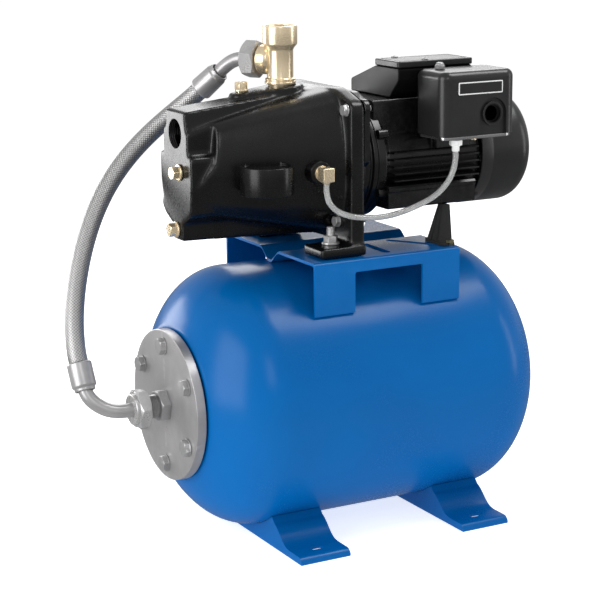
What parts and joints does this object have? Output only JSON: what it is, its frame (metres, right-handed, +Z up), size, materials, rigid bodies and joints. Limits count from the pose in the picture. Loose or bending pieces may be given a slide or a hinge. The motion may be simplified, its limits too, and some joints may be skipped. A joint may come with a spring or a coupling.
{
  "type": "shallow well jet pump with pressure tank",
  "caption": "Shallow-well centrifugal jet pump with its motor and pressure switch on a platform over a horizontal blue pressure tank, joined by a braided hose.",
  "frame": {"origin": "on the floor plane, at the middle of the rigid pieces in X and on the tank's axis plane in Y", "axes": "+X along the tank and the motor shaft, from the suction port to the fan; -Y towards the pressure switch; +Z up"},
  "size_m": [0.5351, 0.2936, 0.5369],
  "materials": {
    "tank_paint": "satin powder coat",
    "casing_black": "black enamel on a fine cast surface",
    "motor_black": "black enamel on die-cast aluminium",
    "cover_black": "black satin paint on pressed steel",
    "plastic_black": "moulded, satin",
    "zinc_plate": "dull zinc plate",
    "brass": "machined, bright",
    "bright_steel": "turned, bright",
    "lamination_steel": "varnished laminations",
    "bladder_rubber": "moulded butyl",
    "wire_braid": "stainless wire braid over a rubber hose",
    "clear_nylon": "translucent nylon",
    "seal_carbon": "ground carbon"
  },
  "bodies": {
    "pump_set": {"tank_shell": "tank_paint", "tank_bladder": "bladder_rubber", "tank_flange": "zinc_plate", "flange_bolt_1": "zinc_plate", "flange_bolt_2": "zinc_plate", "flange_bolt_3": "zinc_plate", "flange_bolt_4": "zinc_plate", "flange_bolt_5": "zinc_plate", "flange_bolt_6": "zinc_plate", "tank_foot_left": "tank_paint", "tank_foot_right": "tank_paint", "pump_platform": "tank_paint", "air_valve_stem": "brass", "flange_nipple": "zinc_plate", "hose_elbow_lower": "zinc_plate", "hose_ferrule_lower": "zinc_plate", "hose_elbow_upper": "zinc_plate", "hose_ferrule_upper": "zinc_plate", "discharge_tee": "brass", "pump_casing": "casing_black", "jet_nozzle": "brass", "venturi_tube": "plastic_black", "diffuser": "plastic_black", "motor_bracket": "motor_black", "casing_bolt_1": "zinc_plate", "casing_bolt_2": "zinc_plate", "casing_bolt_3": "zinc_plate", "casing_bolt_4": "zinc_plate", "foot_bolt_1": "zinc_plate", "foot_bolt_2": "zinc_plate", "bearing_front": "bright_steel", "bearing_rear": "bright_steel", "motor_housing": "motor_black", "stator_core": "lamination_steel", "fan_cover": "cover_black", "motor_foot": "plastic_black", "terminal_box": "plastic_black", "run_capacitor": "bright_steel", "switch_base": "bright_steel", "tube_fitting_switch": "clear_nylon", "tube_fitting_pump": "brass", "sensing_tube": "clear_nylon", "braided_hose": "wire_braid"},
    "rotor": {"motor_shaft": "bright_steel", "rotor_core": "lamination_steel", "impeller": "brass", "mechanical_seal": "seal_carbon", "cooling_fan": "plastic_black"},
    "switch_plunger_body": {"switch_plunger": "brass"},
    "switch_arm_body": {"switch_arm": "bright_steel"},
    "switch_cover_body": {"switch_cover": "cover_black", "cover_nut": "zinc_plate"},
    "terminal_lid_body": {"terminal_box_lid": "plastic_black"},
    "air_valve_cap_body": {"air_valve_cap": "plastic_black"},
    "air_valve_pin_body": {"air_valve_pin": "bright_steel"},
    "priming_plug_body": {"priming_plug": "brass"},
    "gauge_plug_body": {"gauge_port_plug": "brass"},
    "drain_plug_body": {"drain_plug": "brass"},
    "hose_nut_lower_body": {"hose_nut_lower": "zinc_plate"},
    "hose_nut_upper_body": {"hose_nut_upper": "zinc_plate"}
  },
  "joints": [
    {"name": "shaft_spin", "type": "hinge", "parent": "pump_set", "child": "rotor", "pos_m": [0.0396, 0, 0.3917], "axis": [1, 0, 0], "continuous": true},
    {"name": "plunger_travel", "type": "slide", "parent": "pump_set", "child": "switch_plunger_body", "axis": [0, 0, 1], "range_m": [0, 0.0015], "stiffness_N_per_m": 2000, "springref_m": -0.001},
    {"name": "arm_tilt", "type": "hinge", "parent": "pump_set", "child": "switch_arm_body", "pos_m": [0.1356, -0.084, 0.4328], "axis": [0, -1, 0], "range_deg": [0, 4]},
    {"name": "cover_lift", "type": "slide", "parent": "pump_set", "child": "switch_cover_body", "axis": [0, 0, 1], "range_m": [0, 0.1]},
    {"name": "lid_lift", "type": "slide", "parent": "pump_set", "child": "terminal_lid_body", "axis": [0, 0, 1], "range_m": [0, 0.06]},
    {"name": "valve_cap_off", "type": "slide", "parent": "pump_set", "child": "air_valve_cap_body", "axis": [1, 0, 0], "range_m": [0, 0.03]},
    {"name": "valve_pin_press", "type": "slide", "parent": "pump_set", "child": "air_valve_pin_body", "axis": [-1, 0, 0], "range_m": [0, 0.0015], "stiffness_N_per_m": 500, "springref_m": -0.001},
    {"name": "priming_plug_out", "type": "slide", "parent": "pump_set", "child": "priming_plug_body", "axis": [0, 0, 1], "range_m": [0, 0.03]},
    {"name": "gauge_plug_out", "type": "slide", "parent": "pump_set", "child": "gauge_plug_body", "axis": [-1, 0, 0], "range_m": [0, 0.03]},
    {"name": "drain_plug_out", "type": "slide", "parent": "pump_set", "child": "drain_plug_body", "axis": [-1, 0, 0], "range_m": [0, 0.03]},
    {"name": "nut_lower_turn", "type": "hinge", "parent": "pump_set", "child": "hose_nut_lower_body", "pos_m": [-0.1984, 0, 0.1468], "axis": [1, 0, 0], "continuous": true},
    {"name": "nut_upper_turn", "type": "hinge", "parent": "pump_set", "child": "hose_nut_upper_body", "pos_m": [-0.04632, 0.02671, 0.5005], "axis": [-0.5506, 0.8348, 0], "continuous": true}
  ],
  "couplings": [
    {"joint": "arm_tilt", "follows": "plunger_travel", "rad_per_m": 45.45}
  ]
}
